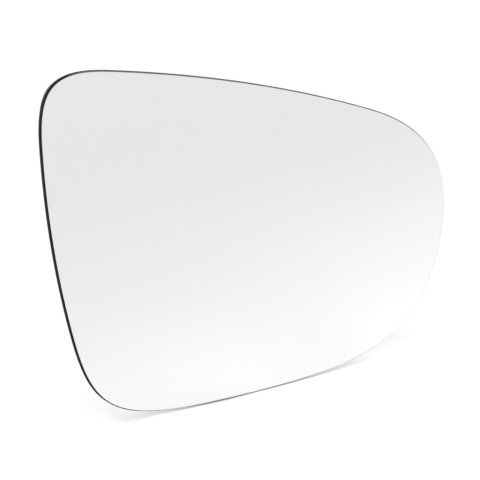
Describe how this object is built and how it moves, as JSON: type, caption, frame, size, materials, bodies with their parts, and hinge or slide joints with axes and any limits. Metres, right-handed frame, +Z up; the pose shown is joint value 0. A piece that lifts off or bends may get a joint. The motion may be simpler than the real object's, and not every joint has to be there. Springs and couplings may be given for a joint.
{
  "type": "car door mirror glass",
  "caption": "Domed, silvered glass for a car's left door mirror, bonded by a foam pad to a black backing plate with a snap collar that clips on the mirror's adjuster.",
  "frame": {"origin": "on the axis of the snap collar, in the middle of the hooks' grip", "axes": "+Z up, +X towards the inner end of the glass, +Y backwards out of the collar; the mirror looks towards -Y"},
  "size_m": [0.1755, 0.0132, 0.1278],
  "materials": {
    "mirror_glass": "silvered glass with a finely ground dark edge",
    "adhesive_pad": "grey closed-cell foam with an adhesive coat",
    "backing_plate": "black moulded plastic with a fine matte grain"
  },
  "bodies": {
    "root": {"mirror_glass": "mirror_glass", "adhesive_pad": "adhesive_pad", "backing_plate": "backing_plate"}
  },
  "joints": []
}
